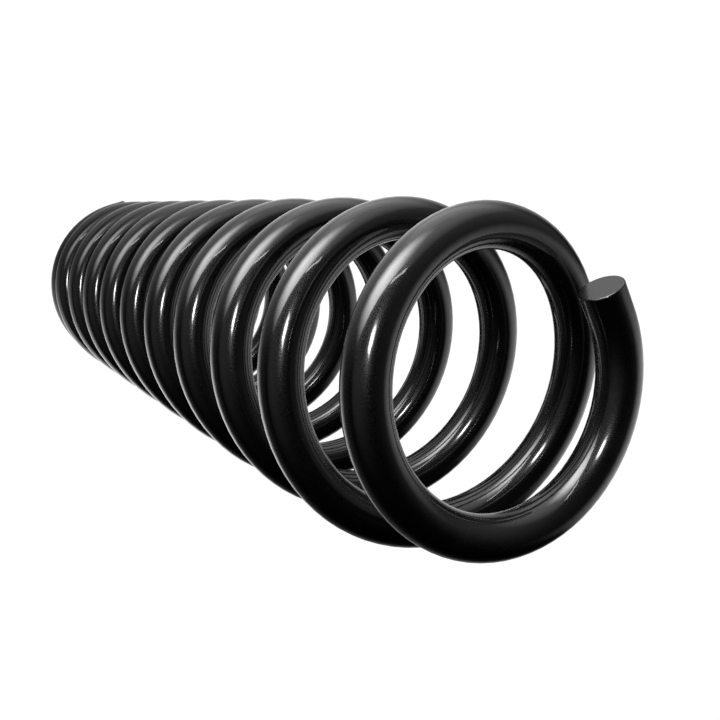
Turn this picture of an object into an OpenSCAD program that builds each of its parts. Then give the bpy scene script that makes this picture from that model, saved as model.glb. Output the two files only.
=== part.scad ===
// Helical compression spring coiled from one round bar, standing on its closed lower end.
// Millimetres. +Z runs up the coil axis, and the lowest bar surface lies on Z = 0.

/* [Bar] */
// Diameter of the round spring bar
bar_d = 14.2; // [10:0.1:20]
// Chamfer on the edge of each cut bar end
end_chamfer = 0.3; // [0.1:0.1:2]

/* [Coil] */
// Mean diameter of the coils, bar centre to bar centre
mean_d = 100; // [70:1:160]
// Turns of bar from tip to tip
turns = 10.86; // [4:0.02:16]
// Rise of one free coil
pitch = 40.5; // [28:0.1:60]
// Direction of the upper tip seen from above, anticlockwise from +X
upper_tip_angle = 153; // [0:1:360]

/* [Lower end, closed] */
// Gap left between the lower tip and the coil above it
lower_tip_gap = 0.4; // [0.2:0.1:3]
// Turns over which the bar turns from lying level to its full pitch
lower_ramp = 0.18; // [0.06:0.02:0.5]
// How far the lower end coil is drawn in
lower_draw_in = 1.6; // [0:0.1:6]
// Turns that stay drawn in at the lower end
lower_draw_hold = 0.45; // [0.1:0.05:0.8]
// Turns over which the lower end coil draws in
lower_draw_run = 0.45; // [0.2:0.05:1]

/* [Upper end, drawn in] */
// Rise per turn at the upper tip, below zero where it runs back towards the next coil
upper_pitch = -4; // [-10:0.5:20]
// Turns over which the pitch dies away at the upper end
upper_run = 0.83; // [0.4:0.01:1]
// How far the upper end coil is drawn in
upper_draw_in = 8.5; // [0:0.1:14]
// Turns that stay drawn in at the upper end
upper_draw_hold = 0.45; // [0.1:0.05:0.8]
// Turns over which the upper end coil draws in
upper_draw_run = 0.58; // [0.3:0.02:1.2]

/* [Tips] */
// Length at each tip that the coiling leaves straight
tip_straight = 8.6; // [2:0.2:20]
// How far the coil springs back out towards each tip
tip_flare = 1.8; // [0:0.1:4]
// Turns over which it springs out
tip_flare_run = 0.27; // [0.1:0.01:0.5]

/* [Hidden] */

// Facets round the bar, and rings of facets in each turn
bar_sides = 16;
turn_rings = 32;
coat_black = [0.02, 0.02, 0.022];

bar_r = bar_d / 2;

// Turns at full pitch that it takes the lower end coil to pass over its own tip with the gap
climb = (bar_d + lower_tip_gap) / pitch;
// The rest of that coil lies level, so the spring stands on it
lower_level = 1 - climb - lower_ramp / 2;

// Turns that one millimetre of bar takes up at each tip
lower_mm = 1 / (PI * (mean_d - 2 * lower_draw_in));
upper_mm = 1 / (PI * (mean_d - 2 * upper_draw_in));

function clamp(x, low, high) = min(max(x, low), high);
function ease(x) = let (c = clamp(x, 0, 1)) c * c * (3 - 2 * c);
function unit(v) = v / norm(v);

// Height lost to the level stretch and the climb, t turns from the lower tip
function lower_loss(t) =
    let (c = clamp(t - lower_level, 0, lower_ramp))
    pitch * (min(t, lower_level) + c - c * c / (2 * lower_ramp));

// Height lost where the pitch dies away, u turns from the upper tip
function upper_loss(u) =
    let (e = max(upper_run - u, 0))
    (pitch - upper_pitch) * e * e / (2 * upper_run);

// Draw-in and flare, s turns from a tip
function draw(s, depth, hold, run) = depth * (1 - ease((s - hold) / run));
function flare(s) = tip_flare * pow(max(1 - s / tip_flare_run, 0), 2);

// Angle, radius and height of the coiled bar's centre, t turns from the lower tip
function coil_angle(t) = upper_tip_angle - 360 * (turns - t);
function coil_r(t) =
    mean_d / 2
    - draw(t, lower_draw_in, lower_draw_hold, lower_draw_run)
    - draw(turns - t, upper_draw_in, upper_draw_hold, upper_draw_run)
    + flare(t) + flare(turns - t);
function coil_z(t) = bar_r + pitch * t - lower_loss(t) - upper_loss(turns - t);

function outward(t) = [cos(coil_angle(t)), sin(coil_angle(t)), 0];
function coil(t) = coil_r(t) * outward(t) + [0, 0, coil_z(t)];
function slope(t) = (coil(t + 0.001) - coil(t - 0.001)) / 0.002;

// The bar's centre line follows the coil, and runs straight on from it at each tip
function bend(t) = clamp(t, tip_straight * lower_mm, turns - tip_straight * upper_mm);
function centre(t) = coil(bend(t)) + (t - bend(t)) * slope(bend(t));
function along(t) = unit(slope(bend(t)));

// One ring of points round the bar, square to its centre line
function ring(t, r) =
    let (
        c = centre(t),
        d = along(t),
        n = unit(outward(t) - (outward(t) * d) * d),
        b = cross(d, n)
    )
    [for (k = [0 : bar_sides - 1]) c + r * (cos(360 * k / bar_sides) * n + sin(360 * k / bar_sides) * b)];

// The round bar swept along the coil, with a chamfered flat at each cut end
module coil_spring() {
    steps = ceil(turns * turn_rings);
    stations = concat(
        [[0, bar_r - end_chamfer], [end_chamfer * lower_mm, bar_r]],
        [for (i = [1 : steps - 1]) [turns * i / steps, bar_r]],
        [[turns - end_chamfer * upper_mm, bar_r], [turns, bar_r - end_chamfer]]
    );
    last = len(stations) - 1;
    rings = [for (s = stations) each ring(s[0], s[1])];
    points = concat(rings, [centre(0), centre(turns)]);
    low = len(rings);
    walls = [
        for (i = [0 : last - 1], k = [0 : bar_sides - 1])
            let (
                m = (k + 1) % bar_sides,
                p = i * bar_sides,
                q = p + bar_sides
            )
            each [[p + k, q + k, q + m], [p + k, q + m, p + m]]
    ];
    caps = [
        for (k = [0 : bar_sides - 1])
            let (
                m = (k + 1) % bar_sides,
                p = last * bar_sides
            )
            each [[low, k, m], [low + 1, p + m, p + k]]
    ];
    color(coat_black) polyhedron(points = points, faces = concat(walls, caps), convexity = 10);
}

coil_spring();
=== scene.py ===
# %% [markdown]
# A helical compression spring
#
# The real object is one round steel bar, wound hot into a right-hand helix, cut square at both ends and
# coated in gloss black. It has no joints and no second piece, so everything here is about two things: the
# exact run of the bar, above all at its two ends, and a coat so glossy that what it mirrors is most of
# what the eye sees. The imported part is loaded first, because the bar made here has to fit its box and
# stand for its one node.

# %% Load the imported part
import math

import bmesh
import bpy
from mathutils import Matrix, Quaternion, Vector


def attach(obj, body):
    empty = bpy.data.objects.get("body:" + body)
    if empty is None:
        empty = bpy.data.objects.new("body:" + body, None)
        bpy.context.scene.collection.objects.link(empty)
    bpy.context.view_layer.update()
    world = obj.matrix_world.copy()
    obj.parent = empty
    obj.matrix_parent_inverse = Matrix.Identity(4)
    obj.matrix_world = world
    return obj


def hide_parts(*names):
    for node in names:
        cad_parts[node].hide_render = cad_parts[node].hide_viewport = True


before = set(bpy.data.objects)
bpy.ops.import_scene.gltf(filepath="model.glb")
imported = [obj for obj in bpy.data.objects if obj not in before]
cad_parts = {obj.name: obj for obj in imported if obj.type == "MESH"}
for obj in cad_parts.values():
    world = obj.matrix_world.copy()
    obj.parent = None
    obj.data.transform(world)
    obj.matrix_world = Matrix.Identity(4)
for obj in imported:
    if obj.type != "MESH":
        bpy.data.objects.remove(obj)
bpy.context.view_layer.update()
print("CAD nodes:", sorted(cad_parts))

# %% [markdown]
# The plain helix
#
# The solid model sweeps a sixteen-sided bar, which is right for physics but shows its facets in a
# mirror-like coat. The line that the bar follows is therefore repeated here from the same sizes, and a
# much finer bar is wound on it. A place on the line is given by t, in turns from the lower tip. Most of
# the coil is a plain helix, so that comes first, and the two ends are worked out as departures from it.

# %% Sizes of the bar and the coil
MM = 0.001
BAR_R = 7.1 * MM
MEAN_R = 50 * MM
TURNS = 10.86
PITCH = 40.5 * MM
UPPER_TIP_ANGLE = math.radians(153)
print("bar diameter:", round(2 * BAR_R / MM, 1), "mm, mean coil diameter:", round(2 * MEAN_R / MM, 1), "mm")


# %% The direction from the coil's axis to the bar
def outward(t):
    angle = UPPER_TIP_ANGLE - math.tau * (TURNS - t)
    return Vector((math.cos(angle), math.sin(angle), 0))


print("the lower tip lies towards", [round(x, 2) for x in outward(0)])

# %% [markdown]
# The closed lower end
#
# The spring stands on this end, so the first part of the bar lies level. It then has to climb over its
# own tip, and it does so on a short ramp where the slope grows evenly from level to the full pitch. The
# length of the level part follows from the gap that is left above the tip, so it's worked out and not
# typed in.

# %% Sizes of the lower end
LOWER_TIP_GAP = 0.4 * MM
LOWER_RAMP = 0.18
LOWER_LEVEL = 1 - (2 * BAR_R + LOWER_TIP_GAP) / PITCH - LOWER_RAMP / 2
# Depth of the draw, then the turns it holds and the turns it takes to ease out.
LOWER_DRAW = (1.6 * MM, 0.45, 0.45)
print("level stretch at the lower end:", round(LOWER_LEVEL, 3), "turns")

# %% [markdown]
# The drawn-in upper end
#
# The upper end doesn't close. It is drawn in to a smaller coil and its pitch runs down to slightly below
# level, so the tip comes to lie inside the line of the coils below. Both ends share one easing curve,
# which holds the full depth near the tip and lets go of it smoothly.

# %% Sizes of the upper end
UPPER_PITCH = -4 * MM
UPPER_RUN = 0.83
UPPER_DRAW = (8.5 * MM, 0.45, 0.58)


def clamp(x, low, high):
    return min(max(x, low), high)


def draw_in(s, depth, hold, run):
    """How far the coil is drawn in, s turns from a tip."""
    c = clamp((s - hold) / run, 0, 1)
    return depth * (1 - c * c * (3 - 2 * c))


print("draw half a turn from the upper tip:", round(draw_in(0.5, *UPPER_DRAW) / MM, 2), "mm")

# %% [markdown]
# The tips
#
# A coiling machine can't bend the very end of a bar, so the last few millimetres stay straight. Just
# behind them the coil also springs back out a little. Without these two touches the ends look drawn with
# a compass.

# %% Sizes of the tips
TIP_STRAIGHT = 8.6 * MM
TIP_FLARE = 1.8 * MM
TIP_FLARE_RUN = 0.27
LOWER_BEND = TIP_STRAIGHT / (math.tau * (MEAN_R - LOWER_DRAW[0]))
UPPER_BEND = TURNS - TIP_STRAIGHT / (math.tau * (MEAN_R - UPPER_DRAW[0]))


def flare(s):
    """How far the coil springs back out, s turns from a tip."""
    return TIP_FLARE * max(1 - s / TIP_FLARE_RUN, 0) ** 2


print("the bar bends from", round(LOWER_BEND, 3), "to", round(UPPER_BEND, 3), "turns")

# %% [markdown]
# The whole line
#
# Two functions give the bar's centre: one on the plain helix and one on the real coil with its ends. A
# third turns either of them into a frame, which says where the bar is and how its cross-section is turned
# there. Frames are what makes the next steps short, because a whole ring of points can be carried from
# one frame to another.


# %% The bar's centre
def plain_point(t):
    """The centre on a plain helix, which the middle coils share."""
    return MEAN_R * outward(t) + Vector((0, 0, BAR_R + PITCH * (t - LOWER_LEVEL - LOWER_RAMP / 2)))


def coil_point(t):
    """The centre on the real coil."""
    u = TURNS - t
    climb = clamp(t - LOWER_LEVEL, 0, LOWER_RAMP)
    settle = max(UPPER_RUN - u, 0)
    height = BAR_R + PITCH * (t - min(t, LOWER_LEVEL) - climb + climb**2 / (2 * LOWER_RAMP))
    height -= (PITCH - UPPER_PITCH) * settle**2 / (2 * UPPER_RUN)
    radius = MEAN_R - draw_in(t, *LOWER_DRAW) - draw_in(u, *UPPER_DRAW) + flare(t) + flare(u)
    return radius * outward(t) + Vector((0, 0, height))


print("halfway up, the two lines are", (coil_point(TURNS / 2) - plain_point(TURNS / 2)).length, "m apart")

# %% The bar's own frame
SLOPE_STEP = 0.001


def slope(point, t):
    return (point(t + SLOPE_STEP) - point(t - SLOPE_STEP)) / (2 * SLOPE_STEP)


def bar_frame(point, t):
    """Where the bar is at t and how it is turned: Z runs along it and X points away from the axis."""
    bent = t if point is plain_point else clamp(t, LOWER_BEND, UPPER_BEND)
    run = slope(point, bent)
    along = run.normalized()
    out = (outward(t) - outward(t).dot(along) * along).normalized()
    place = Matrix((out, along.cross(out), along)).transposed().to_4x4()
    place.translation = point(bent) + (t - bent) * run
    return place


print("upper tip at z", round(bar_frame(coil_point, TURNS).translation.z / MM, 1), "mm")

# %% [markdown]
# Winding the bar
#
# A curve with a round bevel would give the same tube, but then the ends would have to be cut and capped
# afterwards. The spin operator winds as a coiling machine does: it takes a disc, carries it round the
# axis in small steps and raises it a little at each step, which leaves a closed bar with a flat face at
# either end.

# %% Wind a plain helix
RINGS_PER_TURN = 72
BAR_SIDES = 40
STEPS = round(TURNS * RINGS_PER_TURN)

bar = bmesh.new()
bmesh.ops.create_circle(
    bar, cap_ends=True, segments=BAR_SIDES, radius=BAR_R, matrix=bar_frame(plain_point, 0)
)
bmesh.ops.spin(
    bar,
    geom=bar.verts[:] + bar.edges[:] + bar.faces[:],
    cent=(0, 0, 0),
    axis=(0, 0, 1),
    dvec=(0, 0, PITCH * TURNS / STEPS),
    angle=math.tau * TURNS,
    steps=STEPS,
    use_merge=False,
    use_duplicate=False,
)
bar.verts.ensure_lookup_table()
print("wound", STEPS, "steps,", len(bar.verts), "points")

# %% [markdown]
# Shaping the two ends
#
# The middle coils are already right. Near the tips each ring of points is carried, as a whole, from its
# place on the plain helix to its place on the real line. The rings stay round and square to the bar, so
# the bar keeps its thickness where it bends harder.

# %% Carry the end rings to their places
SAME_PLACE = 1e-7

moved = 0
for i in range(STEPS + 1):
    t = TURNS * i / STEPS
    plain, real = bar_frame(plain_point, t), bar_frame(coil_point, t)
    if (real.translation - plain.translation).length < SAME_PLACE:
        continue
    ring = bar.verts[i * BAR_SIDES : (i + 1) * BAR_SIDES]
    bmesh.ops.transform(bar, matrix=real @ plain.inverted(), verts=ring)
    moved += 1
print("moved", moved, "rings of", STEPS + 1)

# %% [markdown]
# The cut ends
#
# A cropped bar end is flat, and the coat rounds its rim slightly. A narrow bevel gives that rim something
# to catch the light with. The faces along the bar are shaded smooth, and the rim's own borders are kept
# sharp so that the flat face stays flat to the eye. Only the two cut faces have more than four corners,
# which is how they are found.

# %% Round the rims of the cut faces
END_EDGE = 0.45 * MM
RIM_SEGMENTS = 3

caps = [f for f in bar.faces if len(f.verts) > 4]
rims = sorted({e for f in caps for e in f.edges}, key=lambda e: e.index)
rounded = bmesh.ops.bevel(
    bar,
    geom=rims,
    offset=END_EDGE,
    offset_type="OFFSET",
    segments=RIM_SEGMENTS,
    profile=0.5,
    affect="EDGES",
    material=-1,
)
bmesh.ops.recalc_face_normals(bar, faces=bar.faces[:])
rim_faces = set(rounded["faces"])
print("cut faces:", len(caps), "rim faces:", len(rim_faces))

# %% Smooth along the bar, sharp at the rims' borders
for face in bar.faces:
    face.smooth = len(face.verts) == 4
for edge in bar.edges:
    sides = [f in rim_faces for f in edge.link_faces]
    edge.smooth = sides[0] == sides[1]
print("sharp edges:", sum(not e.smooth for e in bar.edges))

# %% [markdown]
# The piece
#
# The finished mesh becomes one object at the origin, with its place in its points. It rides on the part's
# only body, and it replaces the plain solid, which stays behind for collisions.

# %% Make the piece
mesh = bpy.data.meshes.new("coiled_bar")
bar.to_mesh(mesh)
bar.free()
coiled_bar = bpy.data.objects.new("coiled_bar", mesh)
bpy.context.scene.collection.objects.link(coiled_bar)
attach(coiled_bar, "root")
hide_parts("coil_spring")
print("triangles:", sum(len(p.vertices) - 2 for p in mesh.polygons))

# %% [markdown]
# The gloss black coat
#
# A baked coat on a spring is nearly black and mirrors like lacquer, yet it isn't a perfect mirror. One
# Principled shader holds both halves of that look. Its clear coat layer is the sharp mirror. The base
# under it is almost black and much rougher, so it adds the faint haze that spreads round the brightest
# spots.

# %% Start the coat
coat = bpy.data.materials.new("gloss_black_coat")
coat.use_nodes = True
lacquer = coat.node_tree
shader = lacquer.nodes["Principled BSDF"]
shader.inputs["Coat Weight"].default_value = 1.0
shader.inputs["Coat Roughness"].default_value = 0.055
shader.inputs["Coat IOR"].default_value = 1.5
shader.inputs["Specular IOR Level"].default_value = 0.25
print("coat roughness:", round(shader.inputs["Coat Roughness"].default_value, 3))


# %% Helpers that add one node to a tree
def calc(tree, kind, first, second):
    """Arithmetic on two sockets or numbers."""
    node = tree.nodes.new("ShaderNodeMath")
    node.operation = kind
    for socket, value in zip(node.inputs, (first, second)):
        if isinstance(value, (int, float)):
            socket.default_value = value
        else:
            tree.links.new(value, socket)
    return node.outputs["Value"]


def remap(tree, value, start, end, curve="LINEAR"):
    """A value that runs from start[0] to start[1] made to run from end[0] to end[1], and held beyond that."""
    node = tree.nodes.new("ShaderNodeMapRange")
    node.interpolation_type = curve
    for name, number in zip(("From Min", "From Max", "To Min", "To Max"), (*start, *end)):
        node.inputs[name].default_value = number
    tree.links.new(value, node.inputs["Value"])
    return node.outputs["Result"]


def noise(tree, where, scale, detail, rough=0.5):
    """A noise over the coordinates where, with scale in waves per metre."""
    node = tree.nodes.new("ShaderNodeTexNoise")
    node.inputs["Scale"].default_value = scale
    node.inputs["Detail"].default_value = detail
    node.inputs["Roughness"].default_value = rough
    tree.links.new(where, node.inputs["Vector"])
    return node.outputs["Fac"]


on_bar = lacquer.nodes.new("ShaderNodeTexCoord").outputs["Object"]
print("the coat's patterns follow the", on_bar.name, "coordinates")

# %% [markdown]
# Orange peel
#
# Sprayed and baked coats set with a faint waviness, like the skin of an orange. It is far too shallow to
# model, but it makes the edges of a reflection uneven, so it's a bump. A wave of about four millimetres
# carries most of it, and a finer grain rides on top.

# %% Bump the coat
PEEL_WAVES = 260
GRAIN_WAVES = 1800
GRAIN_SHARE = 0.08
PEEL_DEPTH = 0.02 * MM

peel = noise(lacquer, on_bar, PEEL_WAVES, 2)
grain = noise(lacquer, on_bar, GRAIN_WAVES, 1)
skin = calc(lacquer, "ADD", peel, calc(lacquer, "MULTIPLY", grain, GRAIN_SHARE))
bump = lacquer.nodes.new("ShaderNodeBump")
bump.inputs["Strength"].default_value = 1.0
bump.inputs["Distance"].default_value = PEEL_DEPTH
lacquer.links.new(skin, bump.inputs["Height"])
for layer in ("Coat Normal", "Normal"):
    lacquer.links.new(bump.outputs["Normal"], shader.inputs[layer])
print("orange peel waves:", round(1000 / PEEL_WAVES, 1), "mm long")

# %% [markdown]
# Haze and smudges
#
# The base layer's roughness changes from speck to speck, which gives the haze its fine sparkle. Its
# colour is nearly black all over, with large soft smudges that are a trace lighter, as handling leaves on
# such a coat.

# %% Vary the base under the coat
SPECK_WAVES = 2500
SPECK_RANGE = (0.3, 0.7)
SMUDGE_WAVES = 45
SMUDGE_RANGE = (0.58, 0.75)
HAZE_ROUGHNESS = (0.21, 0.36)
DEEP_BLACK = (0.0008, 0.0008, 0.00085, 1)
SMUDGED_BLACK = (0.003, 0.003, 0.0031, 1)

haze = remap(lacquer, noise(lacquer, on_bar, SPECK_WAVES, 1), SPECK_RANGE, HAZE_ROUGHNESS)
lacquer.links.new(haze, shader.inputs["Roughness"])
smudge = remap(lacquer, noise(lacquer, on_bar, SMUDGE_WAVES, 4, 0.6), SMUDGE_RANGE, (0, 1))
tint = lacquer.nodes.new("ShaderNodeMix")
tint.data_type = "RGBA"
tint.inputs["A"].default_value = DEEP_BLACK
tint.inputs["B"].default_value = SMUDGED_BLACK
lacquer.links.new(smudge, tint.inputs["Factor"])
lacquer.links.new(tint.outputs["Result"], shader.inputs["Base Color"])
mesh.materials.append(coat)
print("coat nodes:", len(lacquer.nodes))

# %% [markdown]
# The paper under the spring
#
# The spring stands on pale paper that is lit so strongly that it looks white. The coat would mirror a
# white floor as broad grey bands, though, and real coils show thin bright rims and deep blacks, because
# the light on studio paper falls off and changes with direction. So the paper looks white to the camera,
# and shows reflections painted light instead: a glow of its own, made of soft fans that point away from
# the coil's axis, with painted shade close to the axis. It turns to light grey far away, so that bright
# rims stand out against it from the side.

# %% Lay the paper
PAPER_HALF_WIDTH = 40
PAPER_DROP = 0.2 * MM

floor_bm = bmesh.new()
bmesh.ops.create_grid(floor_bm, x_segments=1, y_segments=1, size=PAPER_HALF_WIDTH)
floor_mesh = bpy.data.meshes.new("floor")
floor_bm.to_mesh(floor_mesh)
floor_bm.free()
floor_mesh.transform(Matrix.Translation((0, 0, -PAPER_DROP)))
floor = bpy.data.objects.new("floor", floor_mesh)
bpy.context.scene.collection.objects.link(floor)
print("paper:", 2 * PAPER_HALF_WIDTH, "m across")


# %% Helpers for light by direction
def direction(azimuth, elevation):
    a, e = math.radians(azimuth), math.radians(elevation)
    return Vector((math.cos(e) * math.cos(a), math.cos(e) * math.sin(a), math.sin(e)))


def lobe(tree, way, azimuth, elevation, brightness, tightness):
    """A soft lobe of light round one direction."""
    node = tree.nodes.new("ShaderNodeVectorMath")
    node.operation = "DOT_PRODUCT"
    tree.links.new(way, node.inputs[0])
    node.inputs[1].default_value = direction(azimuth, elevation)
    near = calc(tree, "MAXIMUM", node.outputs["Value"], 0)
    return calc(tree, "MULTIPLY", calc(tree, "POWER", near, tightness), brightness)


print("azimuth 90 points towards", [round(x, 2) for x in direction(90, 0)])

# %% Distance and direction from the coil's axis
paper = bpy.data.materials.new("pale_paper")
paper.use_nodes = True
sheet = paper.node_tree
sheet.nodes.remove(sheet.nodes["Principled BSDF"])
on_paper = sheet.nodes.new("ShaderNodeTexCoord").outputs["Object"]


def vector_step(kind, vector, output):
    node = sheet.nodes.new("ShaderNodeVectorMath")
    node.operation = kind
    sheet.links.new(vector, node.inputs[0])
    return node.outputs[output]


flat = vector_step("MULTIPLY", on_paper, "Vector")
flat.node.inputs[1].default_value = (1, 1, 0)
far = vector_step("LENGTH", flat, "Value")
away = vector_step("NORMALIZE", flat, "Vector")
print("paper nodes so far:", len(sheet.nodes))

# %% Painted light and painted shade that reflections see on the paper
# Each fan is an azimuth, an elevation, a brightness and a tightness. Distances run from the axis, in metres.
PAPER_PAINTED_GLOW = 0.05
BACK_FAN = (100, 0, 0.45, 2)
BACK_ENDS = (0.5, 1.5)
LEFT_FAN = (-155, 0, 0.8, 2.5)
PAINTED_SHADE_REACH = (0.03, 0.35)
PAINTED_SHADE = (0.4, 1)
# A close fan also has the distances over which it ends.
CLOSE_FANS = (
    ((140, 0, 0.8, 2), (0.12, 0.45)),
    ((-15, 0, 1.3, 2), (0.22, 0.4)),
)

# Painted light: the paper glows in soft fans, standing in for light falling on it.
painted_light = calc(sheet, "ADD", lobe(sheet, away, *BACK_FAN), PAPER_PAINTED_GLOW)
painted_light = calc(sheet, "MULTIPLY", painted_light, remap(sheet, far, BACK_ENDS, (1, 0)))
painted_light = calc(sheet, "ADD", lobe(sheet, away, *LEFT_FAN), painted_light)
# Painted shade: the glow is dimmed close to the coil's axis, under the spring.
painted_light = calc(sheet, "MULTIPLY", painted_light, remap(sheet, far, PAINTED_SHADE_REACH, PAINTED_SHADE))
for fan, ends in CLOSE_FANS:
    close = calc(sheet, "MULTIPLY", lobe(sheet, away, *fan), remap(sheet, far, ends, (1, 0)))
    painted_light = calc(sheet, "ADD", painted_light, close)
print("fans on the paper:", 2 + len(CLOSE_FANS))

# %% What the camera sees of the paper
FAR_GREY = 0.72
GREY_STARTS = (1.1, 3)
PAPER_DIFFUSE = (0.1, 0.1, 0.1, 1)

to_camera = sheet.nodes.new("ShaderNodeLightPath").outputs["Is Camera Ray"]
pale = remap(sheet, far, GREY_STARTS, (1, FAR_GREY), "SMOOTHSTEP")
shown = calc(sheet, "MULTIPLY", to_camera, pale)
mirrored = calc(sheet, "MULTIPLY", painted_light, calc(sheet, "SUBTRACT", 1, to_camera))
glow = sheet.nodes.new("ShaderNodeEmission")
sheet.links.new(calc(sheet, "MAXIMUM", mirrored, shown), glow.inputs["Strength"])
matt = sheet.nodes.new("ShaderNodeBsdfDiffuse")
matt.inputs["Color"].default_value = PAPER_DIFFUSE
both = sheet.nodes.new("ShaderNodeAddShader")
sheet.links.new(matt.outputs["BSDF"], both.inputs[0])
sheet.links.new(glow.outputs["Emission"], both.inputs[1])
sheet.links.new(both.outputs["Shader"], sheet.nodes["Material Output"].inputs["Surface"])
floor_mesh.materials.append(paper)
print("paper nodes:", len(sheet.nodes))

# %% [markdown]
# The lights
#
# On a black mirror the lights are seen as shapes, so each one is placed for the reflection it makes. The
# key softbox has one crisp edge, which ends the grey patch on each coil, and fades out on its other
# sides. The small lamp makes the white spark under that patch. Two dim boards lift the coils from the
# back and the left, and a narrow strip draws a thin line. A brightness of 1 means as bright as white
# paper, and the wattage follows from it.


# %% Fade a panel's edges
def fade_edges(data, fade):
    """Dim a panel towards its left, right, bottom and top edges, each over its share of the panel."""
    data.use_nodes = True
    tree = data.node_tree
    across = tree.nodes.new("ShaderNodeNewGeometry")
    split = tree.nodes.new("ShaderNodeSeparateXYZ")
    tree.links.new(across.outputs["Parametric"], split.inputs["Vector"])
    left, right, bottom, top = fade
    dim = 1
    for axis, edge, inner in (("X", 0, left), ("X", 1, 1 - right), ("Y", 0, bottom), ("Y", 1, 1 - top)):
        dim = calc(tree, "MULTIPLY", remap(tree, split.outputs[axis], (edge, inner), (0, 1)), dim)
    tree.links.new(dim, tree.nodes["Emission"].inputs["Strength"])


# %% A panel of light
AIM = Vector((0, 0, 0.3))
FULL_SPREAD = 180


def panel(
    name, azimuth, elevation, distance, size, brightness, spread=FULL_SPREAD, roll=0, aim=AIM, fade=None
):
    """A light that faces the spring from that direction, with its brightness set against white paper."""
    data = bpy.data.lights.new(name, "AREA")
    data.shape = "RECTANGLE"
    data.size, data.size_y = size
    data.spread = math.radians(spread)
    data.energy = brightness * math.pi * data.size * data.size_y
    if spread < FULL_SPREAD:
        half = math.radians(spread / 2)
        data.energy *= 1 - half / math.tan(half)
    if fade:
        fade_edges(data, fade)
    light = bpy.data.objects.new(name, data)
    light.location = AIM + distance * direction(azimuth, elevation)
    facing = (Vector(aim) - light.location).to_track_quat("-Z", "Y")
    light.rotation_mode = "QUATERNION"
    light.rotation_quaternion = facing @ Quaternion((0, 0, 1), math.radians(-roll))
    light.visible_camera = False
    bpy.context.scene.collection.objects.link(light)
    print(name, "at", [round(x, 2) for x in light.location], round(data.energy, 2), "W")


# %% Place the lights
panel(
    "key_softbox",
    azimuth=-129.5,
    elevation=13,
    distance=0.45,
    size=(0.69, 0.31),
    brightness=13,
    spread=95,
    roll=29,
    aim=(0.023, -0.019, 0.386),
    fade=(0.3, 0.35, 0.42, 0.03),
)
panel(
    "lens_lamp",
    azimuth=-107.9,
    elevation=55.4,
    distance=0.46,
    size=(0.1, 0.1),
    brightness=90,
    fade=(0.5, 0.5, 0.5, 0.5),
)
panel(
    "back_board",
    azimuth=92,
    elevation=14,
    distance=0.62,
    size=(0.6, 0.9),
    brightness=0.75,
    fade=(0.3, 0.3, 0.2, 0.3),
)
panel(
    "left_board",
    azimuth=178.5,
    elevation=18.9,
    distance=0.573,
    size=(0.93, 0.93),
    brightness=0.75,
    roll=41.5,
    aim=(-0.125, 0.218, 0.521),
    fade=(0.5, 0.12, 0.25, 0.01),
)
panel(
    "strip",
    azimuth=-147,
    elevation=43.5,
    distance=0.76,
    size=(0.3, 0.025),
    brightness=10,
    roll=40,
)

# %% [markdown]
# The room
#
# What is left of the room is dark, with three soft glows where light comes back from its walls. They keep
# the blacks of the coat from looking cut out. The camera sees the same light grey that the paper fades
# to, so no horizon shows. The plain view transform is used, because a filmic one would grey the white
# paper and flatten the blacks.

# %% Build the surroundings
# Each glow is an azimuth, an elevation, a brightness and a tightness.
WALL_GLOWS = ((-165, -8, 0.35, 3), (150, 30, 0.2, 4), (-80, 20, 0.22, 6))

room = bpy.data.worlds.new("studio")
room.use_nodes = True
walls = room.node_tree
around = walls.nodes.new("ShaderNodeTexCoord").outputs["Generated"]
sky = 0
for wall_glow in WALL_GLOWS:
    sky = calc(walls, "ADD", lobe(walls, around, *wall_glow), sky)
seen = walls.nodes.new("ShaderNodeLightPath").outputs["Is Camera Ray"]
sky = calc(walls, "MAXIMUM", sky, calc(walls, "MULTIPLY", seen, FAR_GREY))
background = walls.nodes["Background"]
background.inputs["Color"].default_value = (1, 1, 1, 1)
walls.links.new(sky, background.inputs["Strength"])
bpy.context.scene.world = room
bpy.context.scene.view_settings.view_transform = "Standard"
print("wall glows:", len(WALL_GLOWS))

# %% [markdown]
# The camera
#
# The spring stands upright here and lies on its side in the picture, so the camera looks down past the
# upper end and is rolled by more than a quarter turn. Its place, roll and lens were fitted together with
# the sizes of the coil, until the coils' outlines came within a few pixels of those in the photograph.

# %% Set the camera
CAMERA_AT = Vector((0, -0.159176, 0.574286))
CAMERA_LOOK = Vector((0.007692, 0.527786, -0.849343))
CAMERA_ROLL = math.radians(107.62)
CAMERA_LENS = 40.73
CAMERA_SENSOR = 36

camera_data = bpy.data.cameras.new("camera")
camera_data.sensor_width = CAMERA_SENSOR
camera_data.lens = CAMERA_LENS
camera = bpy.data.objects.new("camera", camera_data)
camera.location = CAMERA_AT
camera.rotation_mode = "QUATERNION"
camera.rotation_quaternion = CAMERA_LOOK.to_track_quat("-Z", "Y") @ Quaternion((0, 0, 1), CAMERA_ROLL)
bpy.context.scene.collection.objects.link(camera)
bpy.context.scene.camera = camera
print("camera", round((CAMERA_AT - AIM).length, 3), "m from the lights' aim, lens", CAMERA_LENS, "mm")
